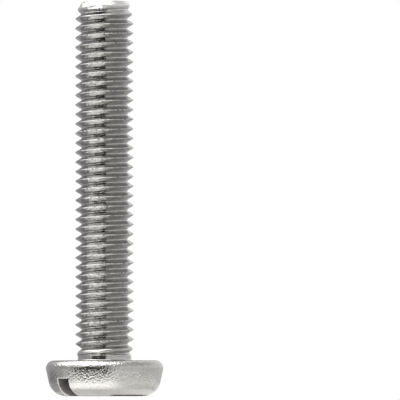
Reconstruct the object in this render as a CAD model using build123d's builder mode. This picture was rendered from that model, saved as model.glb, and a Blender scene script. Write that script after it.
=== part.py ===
from build123d import *
import os
from math import cos, radians, sin, tan

# Slotted pan head screw, M5 x 30, one piece of cold headed and thread rolled stainless wire.
# The origin is the centre of the bearing face under the head. +Z runs along the shank to its end,
# and the head lies below, so the screw as drawn stands on the flat of its head.

# Driving dimensions of the head, in millimetres and degrees
head_diameter = 9.8
head_height = 3.0
rim_radius = 0.65
side_draft = 12.0
crown_radius = 1.55
slot_width = 1.3
slot_depth = 1.5

# Driving dimensions of the shank, in millimetres
shank_length = 30.0
neck_radius = 0.25
collar_diameter = 4.46
collar_length = 0.64
runout_length = 0.4
thread_diameter = 4.9
point_length = 1.5
point_step = 0.42
end_break = 0.12

# The rim rolls from the bearing face round to the side, which then leans inward by its draft.
head_radius = head_diameter / 2
bearing_radius = head_radius - rim_radius
rim_sweep = 90 + side_draft
side_top_radius = bearing_radius + rim_radius * cos(radians(side_draft))
side_top_level = -rim_radius - rim_radius * sin(radians(side_draft))
side_fall = head_height + side_top_level
side_foot_radius = side_top_radius - side_fall * tan(radians(side_draft))

# The shank is a collar of the rolled blank's own diameter, then the thread over its crests,
# which narrow towards the end so that the screw starts easily in a nut.
collar_radius = collar_diameter / 2
thread_radius = thread_diameter / 2
thread_start = collar_length + runout_length
thread_end = shank_length - point_length
point_radius = thread_radius - point_step

with BuildPart() as screw:
    # Half outline of head and shank, turned about the screw's axis
    with BuildSketch(Plane.XZ) as outline:
        with BuildLine():
            rim = CenterArc((bearing_radius, -rim_radius), rim_radius, 90, -rim_sweep)
            Polyline(
                rim @ 1,
                (side_foot_radius, -head_height),
                (0, -head_height),
                (0, shank_length),
                (point_radius, shank_length),
                (thread_radius, thread_end),
                (thread_radius, thread_start),
                (collar_radius, collar_length),
                (collar_radius, 0),
                rim @ 0,
            )
        make_face()
        crown_corner = outline.vertices().sort_by_distance((side_foot_radius, -head_height))[0]
        fillet(crown_corner, crown_radius)
        neck_corner = outline.vertices().sort_by_distance((collar_radius, 0))[0]
        fillet(neck_corner, neck_radius)
        end_corner = outline.vertices().sort_by_distance((point_radius, shank_length))[0]
        chamfer(end_corner, end_break)
    revolve(axis=Axis.Z)

    # Driver slot, sawn straight across the head along X with a flat floor
    with BuildSketch(Plane.YZ) as slot_section:
        with Locations((0, -head_height)):
            Rectangle(slot_width, 2 * slot_depth)
    extrude(amount=head_diameter, both=True, mode=Mode.SUBTRACT)

screw.part.label = "screw"
os.makedirs("parts", exist_ok=True)
export_step(screw.part, "parts/screw.step")
print(f"screw: {screw.part.volume:.1f} cubic mm, thread from {thread_start:.2f} to {thread_end:.2f}")
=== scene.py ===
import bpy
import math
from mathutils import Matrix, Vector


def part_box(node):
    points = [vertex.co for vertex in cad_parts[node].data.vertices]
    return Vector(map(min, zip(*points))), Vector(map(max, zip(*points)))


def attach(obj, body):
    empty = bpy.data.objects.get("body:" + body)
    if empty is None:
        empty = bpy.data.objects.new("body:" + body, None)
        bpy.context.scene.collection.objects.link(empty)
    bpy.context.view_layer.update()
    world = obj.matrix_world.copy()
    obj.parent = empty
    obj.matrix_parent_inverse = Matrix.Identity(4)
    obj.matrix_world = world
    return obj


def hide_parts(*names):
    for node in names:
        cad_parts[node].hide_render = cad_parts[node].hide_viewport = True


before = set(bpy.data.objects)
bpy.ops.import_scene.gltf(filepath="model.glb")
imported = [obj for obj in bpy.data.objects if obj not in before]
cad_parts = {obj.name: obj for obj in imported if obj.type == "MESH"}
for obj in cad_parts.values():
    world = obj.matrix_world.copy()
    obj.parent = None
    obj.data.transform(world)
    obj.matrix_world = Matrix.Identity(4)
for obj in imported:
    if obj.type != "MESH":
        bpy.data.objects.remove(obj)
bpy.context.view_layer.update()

# %% [markdown]
# # A slotted pan head screw, standing on its head
#
# The screw is one piece of stainless wire. Its head was pressed, its slot was sawn and its thread was
# rolled between two dies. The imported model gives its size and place: the origin is the middle of the
# bearing face under the head, +Z runs along the shank and the slot lies along X. Blender works in
# metres, so every length below is written in millimetres and multiplied by one factor.

MM = 0.001
screw_low, screw_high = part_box("screw")
head_level, end_level = screw_low.z, screw_high.z
print("screw from", round(head_level / MM, 2), "to", round(end_level / MM, 2), "mm along Z")

# %% [markdown]
# ## The camera
#
# The photograph was taken with a long lens from about the height of the table, so that the head is
# seen square on and the far end slightly from below. A lens of 463 mm at 430 mm from the screw gives
# the same small change of size from bottom to top. The camera stands a little to the right of the
# screw, as it did in the photograph, because that needs no lens shift, and it is rolled by less than a
# tenth of a degree, because the shank stands that much off the upright in the photograph.

# %% Camera at table height
camera_turn = math.radians(-43)
towards_camera = Vector((math.sin(camera_turn), -math.cos(camera_turn), 0))
to_the_right = Vector((math.cos(camera_turn), math.sin(camera_turn), 0))
camera_distance = 430 * MM
camera_aside = 7.968 * MM
camera_level = -2.0 * MM
aim_level = 13.4 * MM
camera_place = towards_camera * camera_distance + to_the_right * camera_aside
camera_pitch = math.atan2(aim_level - camera_level, camera_distance)
camera_roll = math.radians(0.074)
bpy.ops.object.camera_add(
    location=(camera_place.x, camera_place.y, camera_level),
    rotation=(math.pi / 2 + camera_pitch, camera_roll, camera_turn),
)
camera = bpy.context.object
camera.data.lens = 463.1
camera.data.sensor_width = 36
camera.data.dof.use_dof = False
bpy.context.scene.camera = camera
print("camera pitched up", round(math.degrees(camera_pitch), 2), "degrees")

# %% [markdown]
# ## A clean start for every new mesh
#
# The operators below act on whatever is selected, as they do under the mouse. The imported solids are
# selected after loading, so a helper lets go of everything before a primitive is added. A second one
# selects parts of the mesh by their place, because a script has no mouse to click with.

# %% Helpers for selecting
def let_go():
    if bpy.context.object and bpy.context.object.mode != "OBJECT":
        bpy.ops.object.mode_set(mode="OBJECT")
    bpy.ops.object.select_all(action="DESELECT")


def edit(obj, kind="VERT"):
    let_go()
    obj.select_set(True)
    bpy.context.view_layer.objects.active = obj
    bpy.ops.object.mode_set(mode="EDIT")
    bpy.ops.mesh.select_mode(type=kind)
    bpy.ops.mesh.select_all(action="DESELECT")


def choose(obj, wanted, kind="vertices"):
    bpy.ops.mesh.select_all(action="DESELECT")
    bpy.ops.object.mode_set(mode="OBJECT")
    chosen = 0
    for part in getattr(obj.data, kind):
        part.select = bool(wanted(part))
        chosen += part.select
    bpy.ops.object.mode_set(mode="EDIT")
    return chosen


# %% [markdown]
# ## The head
#
# A pan head is pressed in a die, so it is round: a flat top, a wide rounded crown, a side that leans
# by 12 degrees and a small rolled rim where the metal met the edge of the die. Spinning an outline
# would make it, and so would a bevelled cylinder. Here a ring is extruded and scaled from one level to
# the next, because each ring then lies exactly on the true arc and the quads stay even.

# %% The rings of the head, from the flat of the crown to the shank
rim_radius, side_draft, crown_radius = 0.65, math.radians(12), 1.55
head_radius, head_height, collar_radius, neck_radius = 4.899, 3.0, 2.23, 0.10
bearing_radius = head_radius - rim_radius
side_top_radius = bearing_radius + rim_radius * math.cos(side_draft)
side_top_level = -rim_radius * (1 + math.sin(side_draft))
side_foot = side_top_radius - (head_height + side_top_level) * math.tan(side_draft)
crown_reach = crown_radius * math.tan((math.pi / 2 - side_draft) / 2)
flat_radius = side_foot - crown_reach
crown_level = crown_radius - head_height


def arc(centre_r, centre_z, radius, start, end, steps):
    """Points of (radius, level) along an arc, from the angle start to the angle end."""
    turns = [start + (end - start) * i / steps for i in range(steps + 1)]
    return [(centre_r + radius * math.cos(a), centre_z + radius * math.sin(a)) for a in turns]


def line(start, end, steps):
    """The points that part a straight line into even steps, without its two ends."""
    return [tuple(a + (b - a) * i / steps for a, b in zip(start, end)) for i in range(1, steps)]


crown = arc(flat_radius, crown_level, crown_radius, -math.pi / 2, -side_draft, steps=14)
rim = arc(bearing_radius, -rim_radius, rim_radius, -side_draft, math.pi / 2, steps=14)
neck = arc(collar_radius + neck_radius, neck_radius, neck_radius, -math.pi / 2, -math.pi, steps=5)
side = line(crown[-1], rim[0], steps=6)
bearing_face = line((bearing_radius, 0), (neck[0][0], 0), steps=5)
head_rings = crown + side + rim + bearing_face + neck
print("crown flat", round(flat_radius, 3), "mm, rings", len(head_rings))

# %% Extrude and scale the ring along the outline
points_round = 128
let_go()
start_r, start_z = head_rings[0]
bpy.ops.mesh.primitive_circle_add(
    vertices=points_round, radius=start_r * MM, location=(0, 0, start_z * MM)
)
screw = bpy.context.object
screw.name = "stainless_screw"
bpy.ops.object.transform_apply(location=True, rotation=True, scale=True)
edit(screw)
bpy.ops.mesh.select_all(action="SELECT")
for (r0, z0), (r1, z1) in zip(head_rings, head_rings[1:]):
    bpy.ops.mesh.extrude_region_move(TRANSFORM_OT_translate={"value": (0, 0, (z1 - z0) * MM)})
    bpy.ops.transform.resize(value=(r1 / r0, r1 / r0, 1), center_override=(0, 0, 0))
print("points in the head", len(screw.data.vertices))

# %% [markdown]
# One face could close the flat of the crown, but a face with 128 corners shades badly once the slot is
# cut through it. So the rim is extruded and scaled inwards in even steps, and only the small circle in
# the middle is filled.

# %% Close the flat of the crown with rings of its own
hair, flat_steps = 0.0005, 8
choose(screw, lambda v: v.co.z < (start_z + hair) * MM)
flat_rings = [start_r * (1 - i / flat_steps) for i in range(1, flat_steps)]
for before, after in zip([start_r] + flat_rings, flat_rings):
    bpy.ops.mesh.extrude_region_move(TRANSFORM_OT_translate={"value": (0, 0, 0)})
    bpy.ops.transform.resize(value=(after / before, after / before, 1), center_override=(0, 0, 0))
bpy.ops.mesh.edge_face_add()
bpy.ops.object.mode_set(mode="OBJECT")
print("faces with the crown closed", len(screw.data.polygons))

# %% [markdown]
# ## The thread
#
# Two flat dies press a V groove into the wire and push the metal up into the crests. The groove is
# meant to open by 60 degrees, and worn dies leave it a little wider: 63 degrees here, which lets the
# flanks catch the light as they do in the photograph. The thread is a single ridge that climbs 0.8 mm
# each turn, right handed. A modeller could place every turn by hand, or array one ring, but a ring
# doesn't climb. The Screw modifier is made for this: it sweeps the outline of one pitch round the axis
# while it climbs. So the outline comes first. It starts and ends in the root, half of it is worked out
# and the other half is its mirror image, and it begins two turns below the head to be cut off later.

# %% Outline of one pitch, root to root
pitch, crest_radius = 0.8, 2.435
first_crest = 0.266
half_angle = math.radians(31.5)
crest_round, root_round = 0.06, 0.10
cut_short = (crest_round + root_round) * (1 / math.sin(half_angle) - 1)
root_radius = crest_radius - pitch / 2 / math.tan(half_angle) + cut_short
bends = [(math.pi / 2 - half_angle) * i / 4 for i in range(5)]

# Each point is a level and a radius, from the middle of a root up to the tip of the crest
root_arc = [
    (root_round * math.sin(a) - pitch / 2, root_radius + root_round * (1 - math.cos(a)))
    for a in bends
]
crest_arc = [
    (-crest_round * math.sin(a), crest_radius - crest_round * (1 - math.cos(a)))
    for a in reversed(bends)
]
half_outline = root_arc + line(root_arc[-1], crest_arc[0], steps=4) + crest_arc
outline = half_outline + [(-z, r) for z, r in reversed(half_outline[:-1])]
print("root radius", round(root_radius, 3), "mm")

# %% [markdown]
# To draw the outline, one point is extruded from place to place, as a click with Ctrl held does by
# hand. A circle merged into its centre gives that first point.

# %% Draw the outline below the head
turns_below = 2
turns = math.ceil(end_level / MM / pitch) + turns_below + 2
let_go()
bpy.ops.mesh.primitive_circle_add(vertices=3, radius=1 * MM)
thread = bpy.context.object
thread.name = "rolled_thread"
edit(thread)
bpy.ops.mesh.select_all(action="SELECT")
bpy.ops.mesh.merge(type="CENTER")
start_z = first_crest - turns_below * pitch + outline[0][0]
bpy.ops.transform.translate(value=(outline[0][1] * MM, 0, start_z * MM))
for (z0, r0), (z1, r1) in zip(outline, outline[1:]):
    move = ((r1 - r0) * MM, 0, (z1 - z0) * MM)
    bpy.ops.mesh.extrude_region_move(TRANSFORM_OT_translate={"value": move})
bpy.ops.object.mode_set(mode="OBJECT")
print("outline points", len(thread.data.vertices), "turns", turns)

# %% [markdown]
# The Screw modifier climbs by one pitch in each turn. 96 steps in a turn keep the crest round at this
# size. Each turn ends on the root where the next one starts, so merging points that touch closes the
# seam, and the normals are then made to look outwards.

# %% Sweep it up the shank
steps_per_turn, touching = 96, 0.002 * MM
sweep = thread.modifiers.new("climb", "SCREW")
sweep.axis = "Z"
sweep.angle = math.tau
sweep.screw_offset = pitch * MM
sweep.iterations = turns
sweep.steps = sweep.render_steps = steps_per_turn
sweep.use_merge_vertices = False
sweep.use_normal_calculate = True
bpy.ops.object.modifier_apply(modifier="climb")
edit(thread)
bpy.ops.mesh.select_all(action="SELECT")
bpy.ops.mesh.remove_doubles(threshold=touching)
bpy.ops.mesh.normals_make_consistent(inside=False)
bpy.ops.object.mode_set(mode="OBJECT")
print("thread points", len(thread.data.vertices))

# %% [markdown]
# The dies leave both ends of the groove shallow. A smooth brush would do this by hand, and here each
# point near an end moves in or out by a table of levels and radii, which is easier to correct against
# a photograph. The turn at the collar is only half formed, so its crest stays low and leans.

# %% The turn at the collar
end_mm = end_level / MM
half_formed_height, crest_slant = 1.6, 0.34
root_line = [(0.43, collar_radius), (0.52, 2.14), (0.70, 2.07), (0.85, 1.97), (1.05, root_radius)]
crest_line = [(0.30, collar_radius), (0.65, 2.29), (0.85, 2.33), (1.05, 2.36), (1.25, 2.40)]
crest_line += [(1.47, crest_radius)]


def between(value, table):
    """Reads a table of (level, radius) rows, with straight lines between the rows."""
    for (x0, y0), (x1, y1) in zip(table, table[1:]):
        if value <= x1:
            share = min(max((value - x0) / (x1 - x0), 0), 1)
            return y0 + (y1 - y0) * share
    return table[-1][1]


def radius_at_collar(z, r, angle):
    from_crest = (z - first_crest - pitch * angle / math.tau) / pitch
    above_crest = (from_crest - round(from_crest)) * pitch
    high = min(between(z - above_crest, crest_line) - crest_slant * above_crest, crest_radius)
    return max(between(z, root_line), min(r, high))


print("groove is", round(between(0.5, root_line), 2), "mm in radius where it starts")

# %% [markdown]
# At the other end the groove gets shallow and the crests get low, so that the screw finds its way into
# a nut. The blade that sheared the wire pressed the edge over, deeper on the side where it came in.

# %% The last turn at the end
root_line += [(end_mm - 1.3, root_radius), (end_mm - 0.8, 2.0), (end_mm - 0.4, 2.03), (end_mm, 1.95)]
crest_line += [(end_mm - 1.6, crest_radius), (end_mm - 1.33, 2.41), (end_mm - 0.9, 2.30)]
crest_line += [(end_mm - 0.7, 2.25), (end_mm - 0.2, 2.14), (end_mm, 2.09)]
blade_side, blade_spread, edge_radius = math.radians(167), 0.7, 2.10
least_depth, more_depth = 0.12, 0.38
least_drop, more_drop = 0.09, 0.29


def radius_at_end(z, r, angle):
    rise = (r - root_radius) / (crest_radius - root_radius)
    low, high = between(z, root_line), between(z, crest_line)
    new_r = low + rise * (high - low)
    pressed_over = max(math.cos(angle - blade_side), 0) ** blade_spread
    depth = least_depth + more_depth * pressed_over
    drop = least_drop + more_drop * pressed_over
    from_end = max(end_mm - z, 0)
    if from_end < depth:
        new_r = min(new_r, edge_radius - drop * (1 - from_end / depth) ** 2)
    return new_r


moved = 0
for point in thread.data.vertices:
    z, r = point.co.z / MM, math.hypot(point.co.x, point.co.y) / MM
    if half_formed_height <= z < end_mm / 2:
        continue
    radius_there = radius_at_collar if z < half_formed_height else radius_at_end
    new_r = radius_there(z, r, math.atan2(point.co.y, point.co.x))
    point.co.x *= new_r / r
    point.co.y *= new_r / r
    moved += abs(new_r - r) > hair
print("points moved at the two ends", moved)

# %% [markdown]
# Two cuts take off the turns below the head and above the end. The open end is then filled, and
# extruding it inwards a few times lets it sink to the shallow dish that shearing and rolling leave.

# %% Cut it off at the collar and at the end
collar_cut, up, on_plane = 0.16, (0, 0, 1), 1e-8
edit(thread)
bpy.ops.mesh.select_all(action="SELECT")
bpy.ops.mesh.bisect(
    plane_co=(0, 0, collar_cut * MM), plane_no=up, clear_inner=True, threshold=on_plane
)
bpy.ops.mesh.select_all(action="SELECT")
bpy.ops.mesh.bisect(plane_co=(0, 0, end_level), plane_no=up, clear_outer=True, threshold=on_plane)
bpy.ops.mesh.edge_face_add()
dish = ((0.93, 0.00), (0.90, 0.03), (0.80, 0.08), (0.60, 0.11), (0.35, 0.12))
last_share, last_sink = 1, 0
for share, sink in dish:
    bpy.ops.mesh.extrude_region_move(TRANSFORM_OT_translate={"value": (0, 0, 0)})
    size = share / last_share
    bpy.ops.transform.resize(value=(size, size, 1), center_override=(0, 0, 0))
    bpy.ops.transform.translate(value=(0, 0, (last_sink - sink) * MM))
    last_share, last_sink = share, sink
bpy.ops.object.mode_set(mode="OBJECT")
print("thread faces", len(thread.data.polygons))

# %% [markdown]
# Head and thread are one piece of metal, so they become one skin. Both end in an open ring at the
# collar. Joining the two objects and bridging the rings closes it, and leaves no wall inside.

# %% Join head and thread into one skin
let_go()
thread.select_set(True)
screw.select_set(True)
bpy.context.view_layer.objects.active = screw
bpy.ops.object.join()
edit(screw, "EDGE")
bpy.ops.mesh.select_non_manifold(extend=False, use_wire=False, use_multi_face=False, use_verts=False)
bpy.ops.mesh.bridge_edge_loops()
bpy.ops.mesh.select_all(action="SELECT")
bpy.ops.mesh.normals_make_consistent(inside=False)
bpy.ops.object.mode_set(mode="OBJECT")
print("screw faces", len(screw.data.polygons))

# %% [markdown]
# ## The driver slot
#
# The slot is sawn across the head by a thin wheel, with a flat floor and square sides. A Boolean with
# a box of the wheel's width gives the same cut, and every edge of it stays sharp where it should.

# %% Saw the slot
slot_width, slot_depth, saw_length = 1.3, 1.5, 14
let_go()
bpy.ops.mesh.primitive_cube_add(
    size=1,
    location=(0, 0, head_level),
    scale=(saw_length * MM, slot_width * MM, 2 * slot_depth * MM),
)
saw = bpy.context.object
bpy.ops.object.transform_apply(location=True, rotation=True, scale=True)
let_go()
screw.select_set(True)
bpy.context.view_layer.objects.active = screw
cut = screw.modifiers.new("slot", "BOOLEAN")
cut.operation = "DIFFERENCE"
cut.solver = "EXACT"
cut.object = saw
bpy.ops.object.modifier_apply(modifier="slot")
bpy.data.objects.remove(saw)
print("screw faces with the slot", len(screw.data.polygons))

# %% [markdown]
# The saw leaves a fine lip, which tumbling rounds off, so the rims of the slot get a narrow bevel: with
# the painted highlight that its finish gets below, it draws the thin bright line along the slot in the
# photograph. The faces of the slot are chosen by their place, their border becomes the selection, and
# that is what is bevelled. The Boolean leaves very short edges, so the bevel isn't clamped to them.

# %% Round the lip of the slot
half_width, floor_level = slot_width / 2 * MM, (slot_depth - head_height) * MM
near, square_on = 0.002 * MM, 0.9
lip_width, lip_steps = 0.06 * MM, 3


def in_wall(face):
    upright = abs(abs(face.center.y) - half_width) < near and abs(face.normal.y) > square_on
    return upright and face.center.z < floor_level + near


def in_floor(face):
    level = abs(face.center.z - floor_level) < near and abs(face.normal.z) > square_on
    return level and abs(face.center.y) < half_width


edit(screw, "FACE")
print("slot faces", choose(screw, lambda f: in_wall(f) or in_floor(f), "polygons"))
bpy.ops.mesh.region_to_loop()
bpy.ops.mesh.bevel(offset=lip_width, segments=lip_steps, affect="EDGES", clamp_overlap=False)
bpy.ops.object.mode_set(mode="OBJECT")
lip = {face.index for face in screw.data.polygons if face.select}
print("faces of the lip", len(lip))
print("screw faces with the lip", len(screw.data.polygons))

# %% [markdown]
# ## Materials
#
# Stainless steel has one colour, and apart from the painted light noted below, what differs from place
# to place is how the face was made. The dies rolled the thread, the header pressed the head and
# tumbling dulled it, the wheel sawed the slot and a blade sheared the end, and the lip of the slot was
# rubbed, and its colour is painted bright as a highlight. So there are five finishes of one metal. A
# small function adds a node with its settings and links, and a second one turns the colours from hex
# values to linear ones.

# %% Node helper and colours
def add(tree, kind, links=None, **settings):
    made = tree.nodes.new(kind)
    for name, value in settings.items():
        setattr(made, name, value)
    for name, value in (links or {}).items():
        if isinstance(value, bpy.types.NodeSocket):
            tree.links.new(value, made.inputs[name])
        else:
            made.inputs[name].default_value = value
    return made


def linear(code):
    parts = [int(code[i:i + 2], 16) / 255 for i in (1, 3, 5)]
    return [p / 12.92 if p <= 0.04045 else ((p + 0.055) / 1.055) ** 2.4 for p in parts] + [1]


print("a mid grey of hex 808080 is", round(linear("#808080")[0], 3), "in linear light")

# %% [markdown]
# The patterns of a finish are noise with a size in millimetres, read in the screw's own coordinates,
# so that they stay on the metal when it moves. The distance from the axis and the level along it say
# where each mark belongs.


# %% Helpers for materials
def empty_material(name):
    material = bpy.data.materials.new(name)
    material.use_nodes = True
    material.node_tree.nodes.clear()
    return material, material.node_tree


def grain(tree, size, stretch=(1, 1, 1), detail=2.0, rough=0.5):
    """Noise whose spots are about size millimetres wide, squeezed by stretch along each axis."""
    place = add(tree, "ShaderNodeTexCoord").outputs["Object"]
    turned = add(tree, "ShaderNodeMapping", {"Vector": place, "Scale": stretch})
    links = {"Vector": turned.outputs[0], "Scale": 1 / (size * MM)}
    links.update({"Detail": detail, "Roughness": rough})
    return add(tree, "ShaderNodeTexNoise", links).outputs["Fac"]


def ramp(tree, value, low, high, to_low=0.0, to_high=1.0):
    """Spreads a value from the range low..high to the range to_low..to_high, and clamps it."""
    links = {"Value": value, "From Min": low, "From Max": high, "To Min": to_low, "To Max": to_high}
    return add(tree, "ShaderNodeMapRange", links).outputs[0]


def blend_colours(tree, share, first, second):
    links = {0: share, 6: first, 7: second}
    return add(tree, "ShaderNodeMix", links, data_type="RGBA").outputs[2]


def combine(tree, operation, first, second):
    return add(tree, "ShaderNodeMath", {0: first, 1: second}, operation=operation).outputs[0]


def times(tree, first, second):
    return combine(tree, "MULTIPLY", first, second)


def plus(tree, first, second):
    return combine(tree, "ADD", first, second)


def radius_mm(tree):
    place = add(tree, "ShaderNodeTexCoord").outputs["Object"]
    flat = add(tree, "ShaderNodeVectorMath", {0: place, 1: (1, 1, 0)}, operation="MULTIPLY")
    length = add(tree, "ShaderNodeVectorMath", {0: flat.outputs[0]}, operation="LENGTH")
    return times(tree, length.outputs["Value"], 1 / MM)


def level_mm(tree):
    place = add(tree, "ShaderNodeTexCoord").outputs["Object"]
    return times(tree, add(tree, "ShaderNodeSeparateXYZ", {0: place}).outputs["Z"], 1 / MM)


def bump(tree, height, depth, below=None):
    """Raises or sinks the surface by height times depth, in millimetres."""
    links = {"Height": height, "Distance": depth * MM, "Strength": 1.0}
    if below:
        links["Normal"] = below
    return add(tree, "ShaderNodeBump", links).outputs[0]


def steel(tree, colour, roughness, normal):
    links = {"Base Color": colour, "Metallic": 1.0, "Roughness": roughness, "Normal": normal}
    shader = add(tree, "ShaderNodeBsdfPrincipled", links)
    add(tree, "ShaderNodeOutputMaterial", {"Surface": shader.outputs[0]})


# %% [markdown]
# ### Rolled stainless, on the thread and the collar
#
# The dies burnish the flanks, with streaks along the groove and a few small dark laps where the skin
# of the wire folded. Two folds of metal meet on a crest, so it shows short dark marks, and what is left
# of it has rubbed on other screws in the drum and is a little paler. The streaks run nearly level
# round the shank, so the noise is squeezed along Z. The turn at the collar was hardly touched by the
# dies and stays duller and smoother. The last turn at the end is burnished softer, and its colour is
# painted near white as a painted highlight.

# %% Rolled stainless: where its marks are
rolled, tree = empty_material("rolled_stainless")
radius, level = radius_mm(tree), level_mm(tree)
streaks = grain(tree, 0.9, (1, 1, 7), 3.0)
ripple = times(tree, grain(tree, 0.34, (1, 1, 1.6)), ramp(tree, level, 0.9, 1.4, 0.25, 1.0))
laps = ramp(tree, grain(tree, 0.16, (1, 1, 2.2), 1.0), 0.73, 0.80)
crest = ramp(tree, radius, crest_radius - 0.07, crest_radius)
crest_tip = ramp(tree, radius, crest_radius - 0.04, crest_radius - 0.015)
folds = times(tree, ramp(tree, grain(tree, 0.22, (1, 1, 0.5), 1.0), 0.60, 0.66), crest_tip)
# The last turn at the end: burnished, and painted near white below as a painted highlight
burnished_and_painted_highlight = ramp(tree, level, end_mm - 0.8, end_mm - 0.5)
half_formed = times(tree, ramp(tree, level, 1.2, 0.8), ramp(tree, level, 0.4, 0.6))
print("nodes that place the marks", len(tree.nodes))

# %% Rolled stainless: colour, shine and relief
fold_colour = linear("#4E4B48")
colour = blend_colours(tree, streaks, linear("#A8A7A5"), linear("#C4C3C1"))
colour = blend_colours(tree, times(tree, crest, 0.2), colour, linear("#CFCDCA"))
# Painted highlight: the last turn at the end is painted near white
colour = blend_colours(tree, times(tree, burnished_and_painted_highlight, 0.9), colour, linear("#EFEEEC"))
colour = blend_colours(tree, times(tree, folds, 0.7), colour, fold_colour)
colour = blend_colours(tree, laps, colour, fold_colour)
shine = ramp(tree, streaks, 0.3, 0.7, 0.11, 0.19)
shine = plus(tree, shine, times(tree, laps, 0.15))
shine = plus(tree, shine, times(tree, burnished_and_painted_highlight, 0.14))
shine = plus(tree, shine, times(tree, half_formed, 0.12))
normal = bump(tree, ripple, 0.035)
normal = bump(tree, streaks, 0.02, normal)
normal = bump(tree, laps, -0.012, normal)
steel(tree, colour, shine, normal)
print("rolled stainless has", len(tree.nodes), "nodes")

# %% [markdown]
# ### Pressed and tumbled stainless, on the head
#
# The head was pressed, then tumbled, which leaves an orange peel of shallow dimples about 0.15 mm wide
# and a satin shine. The flat of the crown shows the punch: a rougher disc in the middle. Round it a
# ring of pits is painted dark, a painted reflection of the dark surroundings at the edge of the flat.
# The dimples tilt the surface by a few degrees, so where dark and bright surroundings meet in the metal
# it looks speckled. The crown is duller than the side, because other screws in the drum struck it most.

# %% Pressed stainless: where its marks are
pressed, tree = empty_material("pressed_stainless")
radius, level = radius_mm(tree), level_mm(tree)
dimples = grain(tree, 0.15, detail=1.2)
fine = grain(tree, 0.09, detail=1.0)
clouds = grain(tree, 1.4)
specks = ramp(tree, grain(tree, 0.1), 0.56, 0.66)
pits = ramp(tree, grain(tree, 0.22), 0.56, 0.66)
on_flat = ramp(tree, level, -2.95, -2.99)
disc = times(tree, on_flat, ramp(tree, radius, 2.45, 2.30))
# Painted reflection: a ring at the edge of the flat where the pits are painted dark
painted_reflection_ring = times(tree, on_flat, ramp(tree, radius, 2.9, 3.05))
low_side = ramp(tree, level, -1.3, -1.9, 0.0, 0.13)
print("nodes that place the marks", len(tree.nodes))

# %% Pressed stainless: colour, shine and relief
colour = blend_colours(tree, clouds, linear("#B3B1AD"), linear("#C6C4C1"))
colour = blend_colours(tree, times(tree, specks, 0.35), colour, linear("#7C7976"))
colour = blend_colours(tree, times(tree, pits, times(tree, disc, 0.7)), colour, linear("#6B6865"))
# Painted reflection: the pits in the ring at the edge of the flat are painted near black
colour = blend_colours(tree, times(tree, pits, times(tree, painted_reflection_ring, 0.9)), colour, linear("#4A4744"))
shine = plus(tree, ramp(tree, clouds, 0.3, 0.7, 0.13, 0.18), low_side)
shine = plus(tree, shine, times(tree, disc, 0.16))
normal = bump(tree, dimples, 0.045)
normal = bump(tree, fine, 0.012, normal)
normal = bump(tree, times(tree, pits, disc), -0.03, normal)
steel(tree, colour, shine, normal)
print("pressed stainless has", len(tree.nodes), "nodes")

# %% [markdown]
# ### Sawn stainless, in the slot
#
# The wheel leaves scratches along its path, so the noise is drawn out along X, the way of the slot.

# %% Sawn stainless
sawn, tree = empty_material("sawn_stainless")
cuts = grain(tree, 0.06, (0.05, 1, 1), 3.0)
marks = grain(tree, 0.8, (1, 0.4, 0.4), 1.0)
specks = ramp(tree, grain(tree, 0.13, detail=1.0), 0.6, 0.7)
colour = blend_colours(tree, marks, linear("#8F8C89"), linear("#B9B7B4"))
colour = blend_colours(tree, times(tree, specks, 0.5), colour, linear("#DAD9D6"))
shine = ramp(tree, cuts, 0.3, 0.7, 0.34, 0.5)
steel(tree, colour, shine, bump(tree, cuts, 0.02))
print("sawn stainless has", len(tree.nodes), "nodes")

# %% [markdown]
# ### Sheared stainless, on the end
#
# The wire was cut from its coil by a blade, so the end is torn and dull, and rolling drew its edge up
# a little round a shallow dish.

# %% Sheared stainless
sheared, tree = empty_material("sheared_stainless")
torn = grain(tree, 0.25, (1, 0.35, 1), 4.0, 0.6)
colour = blend_colours(tree, torn, linear("#858280"), linear("#BAB8B5"))
steel(tree, colour, ramp(tree, torn, 0.3, 0.7, 0.38, 0.55), bump(tree, torn, 0.06))
print("sheared stainless has", len(tree.nodes), "nodes")

# %% [markdown]
# ### The lip of the slot
#
# The saw pushes a burr over the edge, and tumbling rubs it. Its colour is painted near white as a
# painted highlight, so it is the lightest line on the head.

# %% Rubbed lip, with a painted highlight
rubbed_and_painted_highlight, tree = empty_material("rubbed_stainless_painted_highlight")
nicks = grain(tree, 0.2)
# Painted highlight: the colour of the lip is painted near white
colour = blend_colours(tree, nicks, linear("#D9D8D6"), linear("#F2F1EF"))
steel(tree, colour, ramp(tree, nicks, 0.3, 0.7, 0.6, 0.7), bump(tree, nicks, 0.03))
print("rubbed stainless has", len(tree.nodes), "nodes")

# %% [markdown]
# Each face gets the finish of the tool that made it, and its place tells which one that was. Faces
# that meet at less than 38 degrees are then shaded as one smooth surface, so the crowns and crests
# look round, while the end face and the floor of the slot keep their sharp edges.

# %% Give each face its finish
head_below, end_face_depth, smooth_below = 0.02 * MM, 0.2 * MM, math.radians(38)
finishes = [rolled, pressed, sawn, sheared, rubbed_and_painted_highlight]


def finish_of(face):
    if face.index in lip:
        return rubbed_and_painted_highlight
    if in_wall(face) or in_floor(face):
        return sawn
    if face.center.z < head_below:
        return pressed
    if face.center.z > end_level - end_face_depth and face.normal.z > square_on:
        return sheared
    return rolled


screw.data.materials.clear()
for finish in finishes:
    screw.data.materials.append(finish)
for face in screw.data.polygons:
    face.material_index = finishes.index(finish_of(face))
let_go()
screw.select_set(True)
bpy.context.view_layer.objects.active = screw
bpy.ops.object.shade_smooth_by_angle(angle=smooth_below)
for index, finish in enumerate(finishes):
    print(finish.name, "on", sum(f.material_index == index for f in screw.data.polygons), "faces")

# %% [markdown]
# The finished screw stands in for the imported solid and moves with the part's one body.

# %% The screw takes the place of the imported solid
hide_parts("screw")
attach(screw, "root")
print("triangles", sum(len(p.vertices) - 2 for p in screw.data.polygons))

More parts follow.
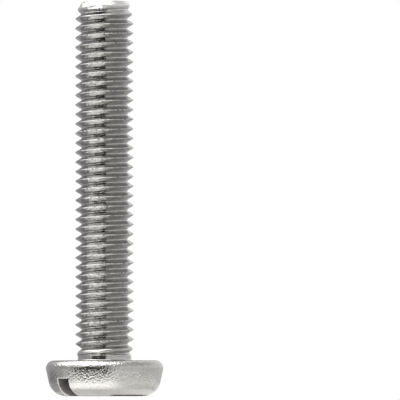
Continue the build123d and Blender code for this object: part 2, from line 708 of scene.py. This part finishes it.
# %% [markdown]
# ## Floor, surroundings and lamps
#
# The photograph has a pure white ground. The floor and the world are white paper: what the camera and
# the metal see of them is lifted to white, while the light that they throw on the screw stays soft and
# plain, and the floor keeps the screw's shadow. More light would whiten the ground too, but it would
# wash out the metal, so the ground is lifted by the kind of ray that sees it.

# %% Floor
let_go()
bpy.ops.mesh.primitive_plane_add(size=3, location=(0, 0, head_level))
floor = bpy.context.object
floor.name = "floor"


def seen_rays(tree):
    """1 for the rays of the camera and of reflections, and 0 for the light that falls on things."""
    path = add(tree, "ShaderNodeLightPath").outputs
    seen = combine(tree, "MAXIMUM", path["Is Camera Ray"], path["Is Glossy Ray"])
    return combine(tree, "MAXIMUM", seen, path["Is Transmission Ray"])


paper_glow, shadow_reach, white_from = 0.32, 15, 60
paper, tree = empty_material("white_paper")
seen = seen_rays(tree)
matt = add(tree, "ShaderNodeBsdfDiffuse", {"Color": linear("#EFEFED")})
glow = add(tree, "ShaderNodeEmission", {"Strength": times(tree, seen, paper_glow)})
both = add(tree, "ShaderNodeAddShader", {0: matt.outputs[0], 1: glow.outputs[0]})
far_off = times(tree, ramp(tree, radius_mm(tree), shadow_reach, white_from), seen)
white = add(tree, "ShaderNodeEmission", {"Color": linear("#FFFFFF")})
shown = add(tree, "ShaderNodeMixShader", {0: far_off, 1: both.outputs[0], 2: white.outputs[0]})
add(tree, "ShaderNodeOutputMaterial", {"Surface": shown.outputs[0]})
floor.data.materials.append(paper)
print("the paper is pure white from", white_from, "mm")

# %% White surroundings
world_light = 0.35
world = bpy.data.worlds.new("white_room")
bpy.context.scene.world = world
world.use_nodes = True
world.node_tree.nodes.clear()
tree = world.node_tree
strength = ramp(tree, seen_rays(tree), 0, 1, world_light, 1.0)
room = add(tree, "ShaderNodeBackground", {"Color": linear("#FFFFFF"), "Strength": strength})
add(tree, "ShaderNodeOutputWorld", {"Surface": room.outputs[0]})
print("the room lights the screw with a strength of", world_light)

# %% [markdown]
# Polished metal shows its surroundings, so it takes its contrast from cards as much as from lamps. One
# large softbox hangs over the screw and to its left. The cards show only in the metal: the camera
# doesn't see them and they throw no shadow. Each is a stroke in the upright plane through the screw's
# axis, spun round the screw, because a spun card has no corner that could show in the round metal.

# %% Softbox and cards
card_gap, card_steps = 0.05, 48


def direction(azimuth, elevation):
    """From the screw's middle, azimuth 0 towards the camera and 90 to the picture's right."""
    a, e = math.radians(azimuth), math.radians(elevation)
    level_part = towards_camera * math.cos(a) + to_the_right * math.sin(a)
    return level_part * math.cos(e) + Vector((0, 0, math.sin(e)))


def softbox(name, azimuth, elevation, distance, width, height, brightness):
    way = direction(azimuth, elevation)
    turn = way.to_track_quat("Z", "Y").to_euler()
    bpy.ops.object.light_add(type="AREA", location=way * distance * MM, rotation=turn)
    lamp = bpy.context.object
    lamp.name = name
    lamp.data.shape = "RECTANGLE"
    lamp.data.size, lamp.data.size_y = width * MM, height * MM
    lamp.data.energy = brightness * math.pi * width * height * MM * MM
    lamp.visible_camera = False
    print(name, round(lamp.data.energy, 3), "W")


def card(name, start, end, strokes, grey):
    """Spins strokes, each a list of (distance, height) over the table, between two azimuths."""
    let_go()
    bpy.ops.mesh.primitive_circle_add(vertices=3, radius=1 * MM)
    board = bpy.context.object
    board.name = name
    edit(board)
    bpy.ops.mesh.select_all(action="SELECT")
    bpy.ops.mesh.delete(type="VERT")
    edge = direction(start, 0)
    for stroke in strokes:
        bpy.ops.mesh.select_all(action="DESELECT")
        bpy.ops.mesh.primitive_circle_add(vertices=3, radius=1 * MM)
        bpy.ops.mesh.merge(type="CENTER")
        distance, height = stroke[0]
        here = edge * distance * MM + Vector((0, 0, head_level + (height + card_gap) * MM))
        bpy.ops.transform.translate(value=here)
        for (r0, h0), (r1, h1) in zip(stroke, stroke[1:]):
            move = edge * (r1 - r0) * MM + Vector((0, 0, (h1 - h0) * MM))
            bpy.ops.mesh.extrude_region_move(TRANSFORM_OT_translate={"value": move})
    bpy.ops.mesh.select_all(action="SELECT")
    sweep = math.radians(end - start)
    bpy.ops.mesh.spin(steps=card_steps, angle=sweep, center=(0, 0, 0), axis=(0, 0, -1))
    bpy.ops.object.mode_set(mode="OBJECT")
    board.visible_camera = board.visible_diffuse = board.visible_shadow = False
    paint, tree = empty_material(name)
    shown = add(tree, "ShaderNodeEmission", {"Color": [grey, grey, grey, 1]})
    add(tree, "ShaderNodeOutputMaterial", {"Surface": shown.outputs[0]})
    board.data.materials.append(paint)
    print(name, "of", len(board.data.polygons), "faces, grey", round(grey, 2))


softbox("softbox_overhead", -77, 68, distance=300, width=490, height=420, brightness=2.3)

# %% [markdown]
# A black card stands at the camera, where the photographer stood, a darker one to its left, a grey one
# and a flag behind the screw on the left, and paler ones on the right. The head sees the table flat
# and near its foot, while the flanks of the thread look down on it from above. So the table gets low
# slats, like a louvre: from the head they hide the bright table behind them, and the thread sees it
# between them. A bright ring close to the foot draws the highlight along the crown, and it fades out
# to the right in steps. The narrow rings inside it show only in the lowest part of the crown, and one
# of them is dark, as the photograph has a thin dark line where the head meets the table.

# %% Rings on the table, walls and slats
def ring_on_table(near_edge, far_edge):
    return [[(near_edge, 0), (far_edge, 0)]]


def wall(distance, foot, top):
    return [[(distance, foot), (distance, top)]]


def table_and_wall(distance, height):
    return [[(louvre_end, 0), (distance, 0), (distance, height)]]


louvre_end, slat_height = 41, 0.6
slat_distances = [4.8 + 3.4 * 1.3 ** i for i in range(9)]
slats = [[(away, 0), (away, slat_height)] for away in slat_distances]
crown_ring, foot_ring = ring_on_table(4.7, 8.0), ring_on_table(3.75, 4.6)
print("slats from", round(slat_distances[0], 1), "to", round(slat_distances[-1], 1), "mm")

# %% Cards to the left and the right
for name, start, end, strokes, grey in (
    ("black_card", -16, 8, slats + table_and_wall(290, 240), 0.03),
    ("dark_card", -56, -16, slats + table_and_wall(300, 200), 0.07),
    ("grey_card_left", -186, -60, slats + ring_on_table(4.2, 8.1) + table_and_wall(300, 160), 0.52),
    ("pale_card_right", 8, 172, slats, 0.8),
    ("grey_card_right", 8, 172, ring_on_table(8.2, 300), 0.5),
    ("pale_wall_right", 8, 172, wall(300, 0, 160), 0.95),
    ("grey_wall_right", 8, 134, wall(330, 0, 620), 0.6),
    ("grey_ceiling_right", 60, 134, [[(330, 620), (60, 620)]], 0.55),
    ("grey_floor_left", -186, -100, ring_on_table(8.2, 60), 0.35),
    ("grey_flag_left", -188, -154, wall(150, 60, 240), 0.35),
    ("bright_strip", -51, 8, crown_ring, 2.0),
):
    card(name, start, end, strokes, grey)

# %% The highlight along the crown fades out to the right
strip_turn, edge_turn = 4, 8
for step in range(5):
    strip_start, edge_start = 8 + strip_turn * step, 8 + edge_turn * step
    strip_grey, edge_grey = 1.85 - 0.2 * step, 1.02 + 0.04 * step
    card("fading_strip_%d" % step, strip_start, strip_start + strip_turn, crown_ring, strip_grey)
    card("fading_edge_%d" % step, edge_start, edge_start + edge_turn, foot_ring, edge_grey)

# %% Bright floor, narrow rings and the line of contact
for name, start, end, strokes, grey in (
    ("bright_floor", -85, -3, ring_on_table(8.2, 36), 2.8),
    ("grey_edge", -66, 8, ring_on_table(3.3, 4.6), 1.0),
    ("bright_edge", 48, 150, foot_ring, 1.2),
    ("contact_shadow", 12, 62, ring_on_table(3.2, 3.7), 0.10),
    ("dark_slat_left", -107, -91, wall(7.9, 0, 1.2), 0.10),
):
    card(name, start, end, strokes, grey)

# %% [markdown]
# The view transform is Standard, so white paper stays white.

# %% View
bpy.context.scene.view_settings.view_transform = "Standard"
